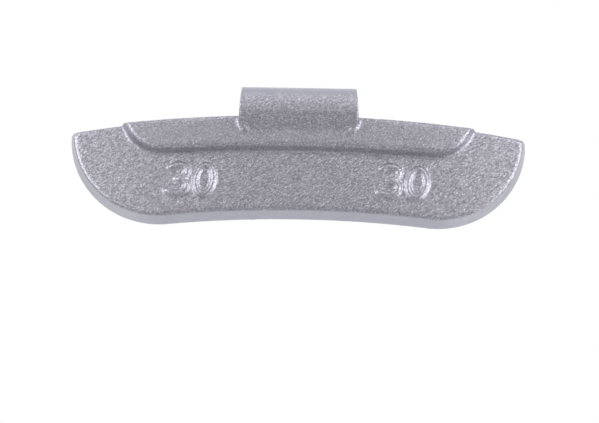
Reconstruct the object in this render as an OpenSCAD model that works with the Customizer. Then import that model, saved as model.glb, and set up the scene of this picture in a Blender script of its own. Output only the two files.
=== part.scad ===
// Clip-on balance weight for a steel car wheel: a die-cast zinc body with a spring steel clip cast into it.
// X runs along the weight, Z points away from the wheel's centre and Y from the outer side of the
// wheel to the inner side, so the front face looks along -Y. The origin is the middle of the clip's
// throat, where the edge of the rim sits.

/* [Body] */
// Length over both rounded ends
body_len = 74.6; // [64:0.1:90]
// Height at the middle, from the lower edge to the upper edge
body_h = 17.4; // [15:0.1:22]
// Thickness of the flat part, from the back to the front face
body_t = 3.5; // [3:0.1:5]
// Radius of the rim's edge, which the upper and the lower edge follow
rim_r = 195; // [165:1:240]
// Radius of the rounded ends
end_r = 14.8; // [12:0.1:17]
// Slope of the lower and end walls, in degrees
wall_draft = 17; // [8:0.5:22]
// Slope of the upper walls of the flat part and of the ridge, in degrees
top_draft = 12.5; // [3:0.5:17]
// Radius of the rounded edge round the front face
front_edge_r = 0.5; // [0.2:0.05:0.8]
// Radius of the rounded edge round the back
back_edge_r = 0.4; // [0.15:0.05:0.6]

/* [Raised ridge] */
// Length of the ridge at its foot
ridge_len = 57.4; // [50:0.1:64]
// Height of the ridge at the middle, from the upper edge to its foot
ridge_h = 6.8; // [6:0.1:9]
// How far the ridge stands out from the front face
ridge_rise = 1.5; // [1:0.1:2.4]
// Slope of the ridge's lower and end walls, in degrees
ridge_slope = 28; // [15:1:40]
// Height of the ridge's upper edge above the upper edge of the flat part, at the middle
ridge_lift = 0.05; // [0.05:0.05:0.4]
// Radius of the ridge's upper edge, seen from the front
ridge_top_r = 230; // [200:1:300]
// Radius of the run of the ridge's foot
ridge_foot_r = 300; // [220:1:600]
// Radius of the ridge's lower corners
ridge_corner_r = 6.8; // [5:0.1:8]
// Radius of the ridge's rounded front edge
ridge_edge_r = 0.65; // [0.2:0.05:0.8]

/* [Clip] */
// Width of the strip where it leaves the body
clip_w = 19.3; // [16:0.1:26]
// How much narrower the strip is at the top of the hook
clip_taper = 0.85; // [0:0.1:1.5]
// Thickness of the spring strip
strip_t = 0.9; // [0.7:0.05:1.1]
// Outer radius of the hook's round front
hook_r = 3.3; // [2.9:0.05:3.8]
// How far the hook stands out in front of the ridge
hook_proud = 2.25; // [1.8:0.05:2.6]
// Room for the rim's lip between the hook and the upper edge of the body
lip_room = 2.82; // [2.4:0.01:3.6]
// Angle of the free leg below the horizontal, in degrees
leg_slope = 28; // [20:1:34]
// Length of the free leg's straight part
leg_len = 2.1; // [1.6:0.1:3]
// Radius of the turned-up tip, on the middle of the strip
tip_r = 1.2; // [0.9:0.05:1.5]
// Turn of the tip, in degrees
tip_turn = 62; // [45:1:75]
// Radius of the bend inside the body, on the middle of the strip
root_r = 1.5; // [1.2:0.05:1.8]
// Length of the straight tongue inside the body
tongue_len = 6.5; // [5:0.1:9]
// Diameter of the tongue's two locking holes, which the zinc fills
lock_hole_d = 3.2; // [2:0.1:4]
// Distance between the two locking holes
lock_hole_gap = 9; // [6:0.1:12]

/* [Hidden] */
// Fineness of small and of large round forms
$fn = 96;
wide_fn = 1440;
// Span of the wide arcs, to each side of the middle, depth of their blanks and width of a wall's section
arc_half = 20;
arc_depth = 60;
section_w = 4;
// Depth by which a wall's line dips under its rounded edge, so that the two cross cleanly
tuck = 0.001;
// Depth by which a round end dips under the long edge beside it, for the same reason
sink = 0.015;
// Extra reach of a cutting tool past the face that it cuts
over = 2;

// Depths along the way from the back to the front: zero at the back of the body
face_level = body_t;
ridge_level = body_t + ridge_rise;
// Y of the back and Z of the upper edge at the middle
back_y = -hook_r + hook_proud + ridge_level;
body_top = hook_r - strip_t - lip_room;

// Centres of the rounded ends and of the ridge's lower corners, from the upper edge at the middle
end_x = body_len / 2 - end_r;
end_z = nest_z(end_x, end_r, rim_r) - body_h;
corner_x = ridge_len / 2 - ridge_corner_r;
corner_z = nest_z(corner_x, ridge_corner_r, ridge_foot_r) - ridge_h;

// The strip's middle line and the tongue's Y
bend_r = hook_r - strip_t / 2;
tongue_y = back_y - body_t / 2;
root_run = tongue_y - root_r;
tongue_top = -bend_r - root_r;
leg_start = 90 - leg_slope;
// Overlap of the bends with the straight parts, in degrees
lap = 0.8;

// Height of the centre of a round end that lies smoothly on a long edge of radius long_r, above the
// middle of that edge, and the way out from the middle at which the two meet
function nest_z(x, r, long_r) = sqrt((long_r + r) * (long_r + r) - x * x) - long_r - sink;
function meet_x(x, r, long_r) = x * long_r / (long_r + r);
// Setback of the middle of a rounding of radius e from a front corner and a back corner of a wall
function round_run(e, slope) = e * tan((90 - slope) / 2);
function back_run(e, slope) = e / tan((90 - slope) / 2);

// Stands what is drawn flat up in the body's place, with its depth towards the front
module stand() {
    translate([0, back_y, body_top]) rotate([90, 0, 0]) children();
}

// Section of a wall that leans in towards the front, with a rounded front edge and a rounded back edge.
// Its foot is at zero and the body lies on its -X side. Below the foot it is upright, or keeps its slope.
module wall_section(foot, top, slope, edge, back_edge, keep_slope) {
    lean = keep_slope ? slope : 0;
    front_mid = [-(top - foot) * tan(slope) - round_run(edge, slope), top - edge];
    back_mid = [foot * tan(lean) - back_run(back_edge, lean), back_edge];
    polygon([
        [-section_w, 0], [back_mid[0], 0], back_mid,
        back_mid + (back_edge - tuck) * [cos(lean), sin(lean)],
        if (!keep_slope) [0, foot],
        front_mid + (edge - tuck) * [cos(slope), sin(slope)],
        front_mid, [front_mid[0], top], [-section_w, top]
    ]);
    translate(front_mid) circle(r = edge);
    translate(back_mid) circle(r = back_edge);
}

// The same wall, kept as a gap by the tool that cuts it: the body lies on its +X side
module hollow_section(foot, top, slope, edge, back_edge, keep_slope) {
    lean = keep_slope ? slope : 0;
    front_mid = [(top - foot) * tan(slope) + round_run(edge, slope), top - edge];
    back_mid = [back_run(back_edge, lean) - foot * tan(lean), back_edge];
    difference() {
        polygon([
            [-section_w, -over], [back_mid[0], -over], back_mid,
            back_mid + (back_edge - tuck) * [-cos(lean), sin(lean)],
            if (!keep_slope) [0, foot],
            front_mid + (edge - tuck) * [-cos(slope), sin(slope)],
            front_mid, [front_mid[0], top + over], [-section_w, top + over]
        ]);
        translate(front_mid) circle(r = edge);
        translate(back_mid) circle(r = back_edge);
    }
}

// Turns a section about a centre that lies r below the given height, over the span of the body
module wide_turn(r, height, top) {
    translate([0, height - r, 0])
        rotate_extrude(angle = 2 * arc_half, start = 90 - arc_half, $fn = wide_fn) {
            translate([r, 0]) children();
            translate([r - arc_depth, top[0]]) square([arc_depth - section_w / 2, top[1] - top[0]]);
        }
}

// Two round ends or corners of radius r, and the block between the places where they meet the long edge
module rounded_ends(x, z, r, long_r, top, reach) {
    for (side = [-1, 1]) translate([side * x, z, 0]) rotate(90) rotate_extrude($fn = 180) {
        translate([r, 0]) children();
        square([r - section_w / 2, top]);
    }
    half = meet_x(x, r, long_r);
    translate([-half, z - reach, -over]) cube([2 * half, 2 * reach, top + 2 * over]);
}

// The flat part with its drafted walls
module flat_part() {
    top = face_level;
    difference() {
        intersection() {
            wide_turn(rim_r, 0, [0, top])
                wall_section(0, top, top_draft, front_edge_r, back_edge_r, true);
            rounded_ends(end_x, end_z, end_r, rim_r, top, 2 * body_h)
                wall_section(0, top, wall_draft, front_edge_r, back_edge_r, true);
        }
        wide_turn(rim_r, -body_h, [-over, top + over])
            hollow_section(0, top, wall_draft, front_edge_r, back_edge_r, true);
    }
}

// The raised ridge along the upper edge, which carries the clip
module ridge() {
    foot = face_level;
    top = ridge_level;
    difference() {
        intersection() {
            wide_turn(ridge_top_r, ridge_lift, [0, top])
                wall_section(0, top, top_draft, ridge_edge_r, back_edge_r, true);
            rounded_ends(corner_x, corner_z, ridge_corner_r, ridge_foot_r, top, 2 * ridge_h)
                wall_section(foot, top, ridge_slope, ridge_edge_r, back_edge_r, false);
        }
        wide_turn(ridge_foot_r, -ridge_h, [-over, top + over])
            hollow_section(foot, top, ridge_slope, ridge_edge_r, back_edge_r, false);
    }
}

// Zinc that fills the foot of the hook up to the upper edge, behind the strip
module hook_fill() {
    top = body_top - body_t * tan(top_draft);
    intersection() {
        rotate([0, 90, 0]) cylinder(r = bend_r, h = clip_w - clip_taper, center = true);
        translate([-clip_w, -hook_r, -2 * hook_r]) cube([2 * clip_w, hook_r + over, 2 * hook_r + top]);
    }
}

module casting() {
    stand() {
        flat_part();
        ridge();
    }
    hook_fill();
}

// A bend of the strip, between two angles about its own centre. It runs a hair into the straight parts.
module bend(r, start, end) {
    from = start - lap;
    to = end + lap;
    steps = ceil((to - from) / 40);
    intersection() {
        difference() {
            circle(r = r + strip_t / 2);
            circle(r = r - strip_t / 2);
        }
        polygon([[0, 0], for (i = [0 : steps]) let (a = from + (to - from) * i / steps)
            3 * r * [cos(a), sin(a)]]);
    }
}

// A straight run of the strip along its own +X, from the middle of its end
module run(length) {
    translate([0, -strip_t / 2]) square([length, strip_t]);
}

// Side view of the strip: tongue, root, hook, free leg and turned-up tip
module strip_section() {
    translate([tongue_y, tongue_top - tongue_len]) rotate(90) run(tongue_len);
    translate([root_run, tongue_top]) bend(root_r, 0, 90);
    translate([0, -bend_r]) run(root_run);
    bend(bend_r, leg_start, 270);
    rotate(leg_start) translate([bend_r, 0]) rotate(-90) {
        run(leg_len);
        translate([leg_len, tip_r]) bend(tip_r, 270, 270 + tip_turn);
    }
}

// Front view of the strip, a little narrower towards the top
module strip_front() {
    low = tongue_top - tongue_len - over;
    high = hook_r + over;
    side = clip_taper / 2 / (hook_r + bend_r);
    base = clip_w / 2;
    polygon([
        [-base, low], [base, low], [base, -bend_r], [base - side * (high + bend_r), high],
        [side * (high + bend_r) - base, high], [-base, -bend_r]
    ]);
}

module weight_body() {
    color([0.62, 0.62, 0.66]) difference() {
        casting();
        strip();
    }
}

module strip() {
    difference() {
        intersection() {
            rotate([90, 0, 90]) linear_extrude(clip_w + over, center = true) strip_section();
            translate([0, back_y + hook_r, 0]) rotate([90, 0, 0])
                linear_extrude(2 * back_y + 4 * hook_r) strip_front();
        }
        for (side = [-1, 1])
            translate([side * lock_hole_gap / 2, tongue_y, tongue_top - tongue_len / 2])
                rotate([90, 0, 0]) cylinder(d = lock_hole_d, h = strip_t + over, center = true);
    }
}

module rim_clip() {
    color([0.66, 0.66, 0.69]) strip();
}

weight_body();
rim_clip();
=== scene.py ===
import math

import bmesh
import bpy
from mathutils import Matrix, Vector


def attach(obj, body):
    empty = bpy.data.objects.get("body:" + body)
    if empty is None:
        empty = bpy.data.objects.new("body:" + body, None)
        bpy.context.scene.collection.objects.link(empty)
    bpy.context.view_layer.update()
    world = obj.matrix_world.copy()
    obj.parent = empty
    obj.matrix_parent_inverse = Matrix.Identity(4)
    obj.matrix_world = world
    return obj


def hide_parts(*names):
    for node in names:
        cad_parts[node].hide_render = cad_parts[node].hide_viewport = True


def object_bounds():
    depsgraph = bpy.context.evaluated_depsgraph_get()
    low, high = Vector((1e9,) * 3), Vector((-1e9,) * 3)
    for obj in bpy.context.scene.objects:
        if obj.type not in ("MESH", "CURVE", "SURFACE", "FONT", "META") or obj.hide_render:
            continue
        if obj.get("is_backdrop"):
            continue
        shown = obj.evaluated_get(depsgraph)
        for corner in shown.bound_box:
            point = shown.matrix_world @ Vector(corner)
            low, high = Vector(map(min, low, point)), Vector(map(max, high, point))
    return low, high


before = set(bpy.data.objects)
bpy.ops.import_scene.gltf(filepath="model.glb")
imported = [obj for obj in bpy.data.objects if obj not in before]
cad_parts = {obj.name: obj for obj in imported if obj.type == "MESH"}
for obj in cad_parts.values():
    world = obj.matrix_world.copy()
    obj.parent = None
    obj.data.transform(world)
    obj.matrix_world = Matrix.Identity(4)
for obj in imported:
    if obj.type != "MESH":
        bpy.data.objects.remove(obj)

MM = 0.001
cad_low, cad_high = (list(corner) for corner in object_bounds())


# Silver coating
# A thermoset powder with fine metal flake, baked on the casting and the clip together. On the open
# faces the flakes lie in short slanted streaks, and over the drafted walls it flows out smooth.
metal_share = 0.8
flake_turn = 34
streak_size = (0.42 * MM, 0.28 * MM, 0.1 * MM)
grain_size = (0.17 * MM, 0.13 * MM, 0.056 * MM)
grain_share = 0.7
noise_low, noise_high = 0.3, 0.7
flake_low, flake_high = 0.32, 0.78
spark_power = 2.2
spark_mean = 0.174
spark_on_walls = 0.12
patch_turn = 10
patch_size = (1.6 * MM, 1.6 * MM, 1.2 * MM)
patch_drift = 0.035
wall_gloss = 0.08
flake_gloss = 0.05
skin_height = 0.05 * MM
skin_on_walls = 0.05


def shade(tree, kind, feeds, **settings):
    # Adds one shader node and feeds each input from a socket or a plain value
    node = tree.nodes.new(kind)
    for name, value in settings.items():
        setattr(node, name, value)
    for socket, value in feeds.items():
        if isinstance(value, bpy.types.NodeSocket):
            tree.links.new(value, node.inputs[socket])
        else:
            node.inputs[socket].default_value = value
    return node


def math_step(tree, operation, *values):
    step = shade(tree, "ShaderNodeMath", dict(enumerate(values)), operation=operation)
    return step.outputs["Value"]


def vector_step(tree, operation, feeds):
    step = shade(tree, "ShaderNodeVectorMath", feeds, operation=operation)
    return step.outputs["Vector"]


def stretch(tree, value, low, high, at_low, at_high, rise="LINEAR"):
    feeds = {"Value": value, "From Min": low, "From Max": high, "To Min": at_low, "To Max": at_high}
    step = shade(tree, "ShaderNodeMapRange", feeds, interpolation_type=rise)
    return step.outputs["Result"]


def coating(name, colour, wall_colour, roughness, glint, peel):
    material = bpy.data.materials.new(name)
    material.use_nodes = True
    tree = material.node_tree
    place = tree.nodes.new("ShaderNodeTexCoord").outputs["Object"]
    open_face = shade(tree, "ShaderNodeAttribute", {}, attribute_name="open_face").outputs["Fac"]

    def noise(turn, size, detail):
        lie = {"Vector": place, "Rotation": (0, math.radians(-turn), 0), "Scale": size}
        laid = shade(tree, "ShaderNodeMapping", lie, vector_type="TEXTURE").outputs["Vector"]
        feeds = {"Vector": laid, "Scale": 1.0, "Detail": detail}
        return shade(tree, "ShaderNodeTexNoise", feeds).outputs["Fac"]

    def by_face(on_walls, on_faces):
        return stretch(tree, open_face, 0, 1, on_walls, on_faces)

    streaks = noise(flake_turn, streak_size, 0)
    grains = noise(flake_turn, grain_size, 1)
    patches = noise(patch_turn, patch_size, 3)
    streaks = math_step(tree, "MULTIPLY", streaks, 1 - grain_share)
    flakes = math_step(tree, "MULTIPLY_ADD", grains, grain_share, streaks)

    bright = stretch(tree, flakes, flake_low, flake_high, 0, 1)
    spark = math_step(tree, "POWER", bright, spark_power)
    depth = math_step(tree, "MULTIPLY", math_step(tree, "SUBTRACT", spark, spark_mean), glint)
    lift = math_step(tree, "MULTIPLY", depth, by_face(spark_on_walls, 1))
    drift = stretch(tree, patches, noise_low, noise_high, -patch_drift, patch_drift)
    level = math_step(tree, "ADD", math_step(tree, "ADD", lift, drift), 1.0)
    from_wall = [face - wall for face, wall in zip(colour, wall_colour)]
    from_wall = vector_step(tree, "SCALE", {0: from_wall, "Scale": open_face})
    ground = vector_step(tree, "ADD", {0: wall_colour, 1: from_wall})
    tint = vector_step(tree, "SCALE", {0: ground, "Scale": level})

    spread = by_face(roughness - wall_gloss, roughness)
    gloss = stretch(tree, flakes, noise_low, noise_high, flake_gloss, -flake_gloss)
    strength = by_face(skin_on_walls * peel, peel)
    relief = {"Distance": skin_height, "Strength": strength, "Height": flakes}
    skin = shade(tree, "ShaderNodeBump", relief).outputs["Normal"]

    shader = tree.nodes["Principled BSDF"]
    shader.inputs["Metallic"].default_value = metal_share
    tree.links.new(tint, shader.inputs["Base Color"])
    tree.links.new(math_step(tree, "ADD", spread, gloss), shader.inputs["Roughness"])
    tree.links.new(skin, shader.inputs["Normal"])
    return material


def mark_open_faces(mesh, none_below, full_above, less_above):
    # One on the faces that look straight ahead or back, falling to zero on the walls
    marks = mesh.attributes.new("open_face", "FLOAT", "POINT")
    for vertex, mark in zip(mesh.vertices, marks.data):
        ahead = abs(vertex.normal.y) - less_above * vertex.normal.z
        mark.value = min(1, max(0, (ahead - none_below) / (full_above - none_below)))


# Spring steel clip
# A strip bent to a hook that is knocked over the edge of the rim. It lies in the die when the zinc
# is cast round its tongue, so its foot goes into the body without a joint line.
seam_gap = 0.002 * MM
peel_grain = 0.9 * MM


def merged_copy(node, name):
    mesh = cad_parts[node].data.copy()
    mesh.name = name
    mesh.materials.clear()
    shape = bmesh.new()
    shape.from_mesh(mesh)
    bmesh.ops.remove_doubles(shape, verts=shape.verts, dist=seam_gap)
    shape.to_mesh(mesh)
    shape.free()
    piece = bpy.data.objects.new(name, mesh)
    bpy.context.scene.collection.objects.link(piece)
    return piece


def settle(piece):
    # Turns the modifiers' result into the piece's own smooth mesh
    graph = bpy.context.evaluated_depsgraph_get()
    mesh = bpy.data.meshes.new_from_object(piece.evaluated_get(graph))
    piece.modifiers.clear()
    piece.data = mesh
    mesh.name = piece.name
    mesh.polygons.foreach_set("use_smooth", [True] * len(mesh.polygons))


def coat_thickness(piece, voxel, passes, relief):
    skin = piece.modifiers.new("skin", "REMESH")
    skin.mode = "VOXEL"
    skin.voxel_size = voxel
    flow = piece.modifiers.new("flow", "SMOOTH")
    flow.factor = 0.5
    flow.iterations = passes
    cloud = bpy.data.textures.new(piece.name + "_peel", "CLOUDS")
    cloud.noise_scale = peel_grain
    cloud.noise_depth = 2
    peel = piece.modifiers.new("peel", "DISPLACE")
    peel.texture = cloud
    peel.texture_coords = "LOCAL"
    peel.mid_level = 0.5
    peel.strength = relief
    settle(piece)


clip = merged_copy("rim_clip", "coated_clip")
coat_thickness(clip, voxel=0.14 * MM, passes=2, relief=0.02 * MM)
mark_open_faces(clip.data, none_below=0.4, full_above=1.0, less_above=0.6)
clip.data.materials.append(coating(
    "clip_coating", colour=(0.444, 0.434, 0.494), wall_colour=(0.438, 0.443, 0.508),
    roughness=0.53, glint=2.5, peel=0.25))
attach(clip, "root")
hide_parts("rim_clip")


# Zinc body
# One die casting with drafted walls, a raised ridge along the upper edge and raised plain numbers.
# Zinc runs out in a soft fillet under the hook's foot, and the coating fills all corners softly.
face_y = 0.45 * MM
stroke_w = 1.15 * MM
stroke_depth = 1.3 * MM
stroke_sink = 0.2 * MM
digit_h = 4.75 * MM
digit_slant = 0.1
three_w = 3.4 * MM
three_upper_w = 3.06 * MM
zero_w = 2.9 * MM
threes_xz = [(-19.3 * MM, -12.1 * MM), (14.6 * MM, -11.8 * MM)]
zeros_xz = [(-14.9 * MM, -12.1 * MM), (19.1 * MM, -12.2 * MM)]


def stroke(points, width, depth):
    curve = bpy.data.curves.new("stroke", "CURVE")
    curve.dimensions = "3D"
    line = curve.splines.new("POLY")
    line.points.add(len(points) - 1)
    for point, place in zip(line.points, points):
        point.co = (*place, 1)
    curve.bevel_depth = width / 2
    curve.bevel_resolution = 3
    curve.use_fill_caps = True
    holder = bpy.data.objects.new("stroke", curve)
    bpy.context.scene.collection.objects.link(holder)
    graph = bpy.context.evaluated_depsgraph_get()
    mesh = bpy.data.meshes.new_from_object(holder.evaluated_get(graph))
    bpy.data.objects.remove(holder)
    mesh.transform(Matrix.Diagonal((1, depth / width, 1, 1)))
    return mesh


def arc(centre, radii, start, end, steps):
    turns = [math.radians(start + (end - start) * i / steps) for i in range(steps + 1)]
    return [(centre[0] + radii[0] * math.cos(turn), 0, centre[1] + radii[1] * math.sin(turn))
            for turn in turns]


def add_shape(whole, shape):
    mesh = bpy.data.meshes.new("part_of_body")
    shape.to_mesh(mesh)
    shape.free()
    whole.from_mesh(mesh)


body = merged_copy("weight_body", "coated_body")
whole = bmesh.new()
whole.from_mesh(body.data)

zero_path = arc((0, 0), (zero_w / 2, digit_h / 2), 0, 360, 48)
three_path = arc((0, digit_h / 4), (three_upper_w / 2, digit_h / 4), 155, -90, 28)
three_path += arc((0, -digit_h / 4), (three_w / 2, digit_h / 4), 90, -155, 28)[1:]
slant = Matrix.Identity(4)
slant[0][2] = digit_slant
for three_xz, zero_xz in zip(threes_xz, zeros_xz):
    for path, (x, z) in ((three_path, three_xz), (zero_path, zero_xz)):
        digit = stroke(path, stroke_w, stroke_depth)
        digit.transform(Matrix.Translation((x, face_y + stroke_sink, z)) @ slant)
        whole.from_mesh(digit)

# Short beads at the clip's two lower corners, each sinking into the ridge as it turns inwards
bead_w = 0.84 * MM
bead_y = -1.15 * MM
bead_half = 9.3 * MM
bead_low = -4.0 * MM
bead_high = -2.0 * MM
bead_corner = 1.3 * MM
bead_sink = 0.45 * MM
bead_steps = 8
corner_centre = (bead_half - bead_corner, bead_low + bead_corner)
bead_turn = arc(corner_centre, (bead_corner, bead_corner), 360, 270, bead_steps)
for side in (-1, 1):
    path = [(side * bead_half, bead_y, bead_high)]
    for i, (x, _, z) in enumerate(bead_turn):
        path.append((side * x, bead_y + bead_sink * (i / bead_steps) ** 2, z))
    whole.from_mesh(stroke(path, bead_w, bead_w))

# Zinc under the hook's foot: a round filling inside the strip's bend that swells out below it
foot_r = 3.26 * MM
foot_half = 9.5 * MM
foot_top = -1.35 * MM
foot_swell = 1.12
foot = bmesh.new()
bmesh.ops.create_cone(foot, cap_ends=True, segments=96, radius1=foot_r, radius2=foot_r,
                      depth=2 * foot_half)
bmesh.ops.rotate(foot, verts=foot.verts, matrix=Matrix.Rotation(math.radians(90), 3, "Y"))
bmesh.ops.scale(foot, verts=foot.verts, vec=(1, 1, foot_swell))
everything = foot.verts[:] + foot.edges[:] + foot.faces[:]
cut = bmesh.ops.bisect_plane(foot, geom=everything, plane_co=(0, 0, foot_top), plane_no=(0, 0, 1),
                             clear_outer=True)
rim = [part for part in cut["geom_cut"] if isinstance(part, bmesh.types.BMEdge)]
bmesh.ops.contextual_create(foot, geom=rim)
add_shape(whole, foot)

# The fillet between the ridge's front and the hook's round, swelled like the zinc above it
ridge_y = -1.05 * MM
hook_outer = 3.3 * MM
fillet_r = 0.8 * MM
fillet_half = 9.1 * MM
fillet_top = -1.6 * MM
fillet_y = ridge_y - fillet_r
fillet_z = -math.sqrt((hook_outer + fillet_r) ** 2 - fillet_y ** 2)
fillet = bmesh.new()
start = fillet.verts.new((-fillet_half, ridge_y, fillet_z))
bmesh.ops.spin(fillet, geom=[start], cent=(-fillet_half, fillet_y, fillet_z), axis=(1, 0, 0),
               angle=math.atan2(-fillet_z, -fillet_y), steps=10)
fillet.verts.new((-fillet_half, 0, fillet_top))
fillet.verts.new((-fillet_half, 0, fillet_z))
fillet.verts.ensure_lookup_table()
profile = fillet.faces.new(fillet.verts[:])
pulled = bmesh.ops.extrude_face_region(fillet, geom=[profile])["geom"]
far_end = [part for part in pulled if isinstance(part, bmesh.types.BMVert)]
bmesh.ops.translate(fillet, verts=far_end, vec=(2 * fillet_half, 0, 0))
bmesh.ops.scale(fillet, verts=fillet.verts, vec=(1, 1, foot_swell))
bmesh.ops.recalc_face_normals(fillet, faces=fillet.faces)
add_shape(whole, fillet)
whole.to_mesh(body.data)
whole.free()
coat_thickness(body, voxel=0.2 * MM, passes=3, relief=0.04 * MM)

# Worn upper tips of the two ends
tip_x = 36.9 * MM
tip_z = -4.0 * MM
tip_reach = 1.7 * MM
tips = body.vertex_groups.new(name="tips")
for vertex in body.data.vertices:
    away = math.hypot(abs(vertex.co.x) - tip_x, vertex.co.z - tip_z)
    if away < tip_reach:
        tips.add([vertex.index], 1 - (away / tip_reach) ** 2, "REPLACE")
worn = body.modifiers.new("worn_tips", "SMOOTH")
worn.factor = 0.5
worn.iterations = 28
worn.vertex_group = "tips"
settle(body)
mark_open_faces(body.data, none_below=0.32, full_above=0.57, less_above=0.0)
body.data.materials.append(coating(
    "cast_coating", colour=(0.43, 0.42, 0.478), wall_colour=(0.39, 0.394, 0.448),
    roughness=0.38, glint=2.7, peel=0.55))
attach(body, "root")
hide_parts("weight_body")


# Floor
# A plain pale board well below the part, which hangs at its clip. It fades into the white background
# with the distance and is clear from below.
floor_half = 1.2
floor_drop = 90 * MM
floor_near = 0.13
floor_far = 0.42
floor_white = (0.82, 0.82, 0.82, 1)
floor_mesh = bpy.data.meshes.new("floor")
board = bmesh.new()
bmesh.ops.create_grid(board, x_segments=1, y_segments=1, size=floor_half)
bmesh.ops.translate(board, verts=board.verts, vec=(0, 0, cad_low[2] - floor_drop))
board.to_mesh(floor_mesh)
board.free()
floor = bpy.data.objects.new("floor", floor_mesh)
bpy.context.scene.collection.objects.link(floor)
pale = bpy.data.materials.new("pale_floor")
pale.use_nodes = True
tree = pale.node_tree
matt = tree.nodes["Principled BSDF"]
matt.inputs["Base Color"].default_value = floor_white
matt.inputs["Roughness"].default_value = 0.9
clear = tree.nodes.new("ShaderNodeBsdfTransparent").outputs["BSDF"]
to_camera = tree.nodes.new("ShaderNodeLightPath").outputs["Is Camera Ray"]
underside = tree.nodes.new("ShaderNodeNewGeometry").outputs["Backfacing"]
from_above = math_step(tree, "SUBTRACT", to_camera, underside)
from_above.node.use_clamp = True
place = tree.nodes.new("ShaderNodeTexCoord").outputs["Object"]
away = shade(tree, "ShaderNodeVectorMath", {0: place}, operation="LENGTH").outputs["Value"]
fade = stretch(tree, away, floor_near, floor_far, 1.0, 0.0, "SMOOTHSTEP")
shown = math_step(tree, "MULTIPLY", from_above, fade)
choice = shade(tree, "ShaderNodeMixShader", {"Fac": shown, 1: clear, 2: matt.outputs["BSDF"]})
tree.links.new(choice.outputs["Shader"], tree.nodes["Material Output"].inputs["Surface"])
floor_mesh.materials.append(pale)
floor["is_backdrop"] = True


# Light
# A white light tent, brightest above and behind the part, with a soft box to each side, a near lamp
# to each side and two above the camera. The front, where the camera stands, is darker.
white = (1, 1, 1, 1)
tent_glow = 0.15
world = bpy.data.worlds.new("tent")
bpy.context.scene.world = world
world.use_nodes = True
tree = world.node_tree
tree.nodes.clear()
direction = tree.nodes.new("ShaderNodeTexCoord").outputs["Generated"]
axes = shade(tree, "ShaderNodeSeparateXYZ", {"Vector": direction}).outputs
aside = math_step(tree, "ABSOLUTE", axes["X"])
below = math_step(tree, "MULTIPLY", axes["Z"], -1.0)
# Each with the direction it glows from, where the glow starts and is full, and its strength
tent_walls = [
    (aside, 0.05, 0.35, 0.2),
    (aside, 0.3, 1.0, 0.04),
    (axes["Z"], 0.35, 0.9, 0.56),
    (below, 0.0, 0.8, 0.33),
    (axes["Y"], 0.0, 0.8, 0.65),
]
glow = tent_glow
for toward, start, full, strength in tent_walls:
    wall = stretch(tree, toward, start, full, 0, strength, "SMOOTHSTEP")
    glow = math_step(tree, "ADD", glow, wall)
tent = shade(tree, "ShaderNodeBackground", {"Color": glow, "Strength": 1.0}).outputs["Background"]
seen = shade(tree, "ShaderNodeBackground", {"Color": white, "Strength": 1.0}).outputs["Background"]
to_camera = tree.nodes.new("ShaderNodeLightPath").outputs["Is Camera Ray"]
mix = shade(tree, "ShaderNodeMixShader", {"Fac": to_camera, 1: tent, 2: seen}).outputs["Shader"]
shade(tree, "ShaderNodeOutputWorld", {"Surface": mix})


def soft_box(name, place, target, size, watts):
    lamp = bpy.data.lights.new(name, "AREA")
    lamp.shape = "RECTANGLE"
    lamp.size, lamp.size_y = size
    lamp.energy = watts
    holder = bpy.data.objects.new(name, lamp)
    bpy.context.scene.collection.objects.link(holder)
    way = Vector(target) - Vector(place)
    turn = way.to_track_quat("-Z", "Y").to_matrix().to_4x4()
    holder.matrix_world = Matrix.Translation(place) @ turn


middle = (0, 0, -0.008)
hook = (0, 0, -0.005)
soft_box("left_box", (-0.40, -0.12, 0.04), middle, size=(0.25, 0.30), watts=0.28)
soft_box("right_box", (0.40, -0.14, -0.08), middle, size=(0.30, 0.40), watts=0.72)
soft_box("left_near", (-0.16, -0.15, 0.03), (-0.035, 0, -0.01), size=(0.15, 0.15), watts=0.203)
soft_box("right_near", (0.16, -0.15, 0.03), (0.035, 0, -0.01), size=(0.15, 0.15), watts=0.155)
soft_box("top_near", (0, -0.22, 0.24), hook, size=(0.40, 0.30), watts=0.108)
soft_box("front_box", (0, -0.17, 0.11), hook, size=(0.30, 0.10), watts=0.028)


# Camera
# A short telephoto in front of the part and below it, looking up at it, with the slight roll of the
# photograph.
view_dist = 221 * MM
view_up = math.radians(14.5)
view_roll = math.radians(0.95)
aim_right = 0.37 * MM
aim_down = 16.7 * MM
look = Vector((0, math.cos(view_up), math.sin(view_up)))
up = Vector((0, -math.sin(view_up), math.cos(view_up)))
aim = Vector((aim_right, 0, 0)) - up * aim_down
camera_data = bpy.data.cameras.new("camera")
camera_data.lens = 82
camera_data.sensor_width = 36
camera_data.clip_start = 0.01
camera = bpy.data.objects.new("camera", camera_data)
bpy.context.scene.collection.objects.link(camera)
turn = look.to_track_quat("-Z", "Y").to_matrix() @ Matrix.Rotation(view_roll, 3, "Z")
camera.matrix_world = Matrix.Translation(aim - look * view_dist) @ turn.to_4x4()
bpy.context.scene.camera = camera
bpy.context.scene.view_settings.view_transform = "Standard"
